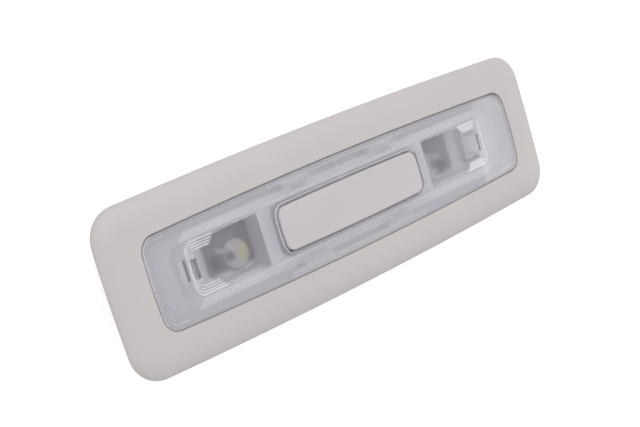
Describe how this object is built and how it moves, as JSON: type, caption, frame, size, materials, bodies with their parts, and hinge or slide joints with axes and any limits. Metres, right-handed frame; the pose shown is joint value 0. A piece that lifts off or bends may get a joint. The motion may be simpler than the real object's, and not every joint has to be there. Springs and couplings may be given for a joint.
{
  "type": "car dome light",
  "caption": "Oblong car dome light: crowned bezel, clear prismatic lens with lamp windows either side of a rocker that works a slide switch, and spring clips for the roof panel.",
  "frame": {"origin": "centre of the bezel's rear rim, on the plane that seats against the roof lining", "axes": "+X along the lamp's length towards the plug end, +Y across it, +Z out of the lens into the cabin"},
  "size_m": [0.1606, 0.0476, 0.0223],
  "materials": {
    "bezel_plastic": "fine satin moulding, pale warm grey",
    "lens_clear": "clear moulded plastic with a prismatic inner face",
    "rocker_plastic": "satin, pale grey",
    "tray_plastic": "satin, pale cool grey",
    "board_laminate": "solder resist over glass laminate",
    "screw_steel": "zinc plated",
    "switch_case": "pressed and plated",
    "black_plastic": "moulded black",
    "tinned_pin": "tinned brass",
    "chip_resistor": "glazed ceramic chip",
    "plug_plastic": "natural nylon",
    "cover_plastic": "satin, grey",
    "socket_plastic": "moulded grey",
    "bulb_body": "white ceramic-filled plastic",
    "phosphor": "yellow emitter resin",
    "lamp_plate": "coated heat-spreading plate, cool grey",
    "spring_steel": "tempered strip"
  },
  "bodies": {
    "lamp": {"bezel": "bezel_plastic", "lens": "lens_clear", "light_tray": "tray_plastic", "circuit_board": "board_laminate", "board_screws": "screw_steel", "cover_screws": "screw_steel", "slide_switch_body": "switch_case", "slide_switch_pins": "tinned_pin", "series_resistors": "chip_resistor", "reverse_diode": "black_plastic", "plug_socket": "plug_plastic", "plug_pins": "tinned_pin", "rear_cover": "cover_plastic", "left_lamp_socket": "socket_plastic", "left_led_bulb": "bulb_body", "left_led_phosphor": "phosphor", "left_led_driver": "black_plastic", "left_lamp_plate": "lamp_plate", "left_roof_clip": "spring_steel", "right_lamp_socket": "socket_plastic", "right_led_bulb": "bulb_body", "right_led_phosphor": "phosphor", "right_led_driver": "black_plastic", "right_lamp_plate": "lamp_plate", "right_roof_clip": "spring_steel"},
    "rocker": {"rocker_cap": "rocker_plastic"},
    "switch_knob": {"slide_switch_knob": "black_plastic"}
  },
  "joints": [
    {"name": "rocker_tilt", "type": "hinge", "parent": "lamp", "child": "rocker", "pos_m": [0, 0, -0.0016], "axis": [0, 1, 0], "range_deg": [-7, 7]},
    {"name": "switch_slide", "type": "slide", "parent": "lamp", "child": "switch_knob", "axis": [1, 0, 0], "range_m": [-0.00093, 0.00093]}
  ],
  "couplings": [
    {"joint": "switch_slide", "follows": "rocker_tilt", "m_per_rad": -0.00749}
  ]
}
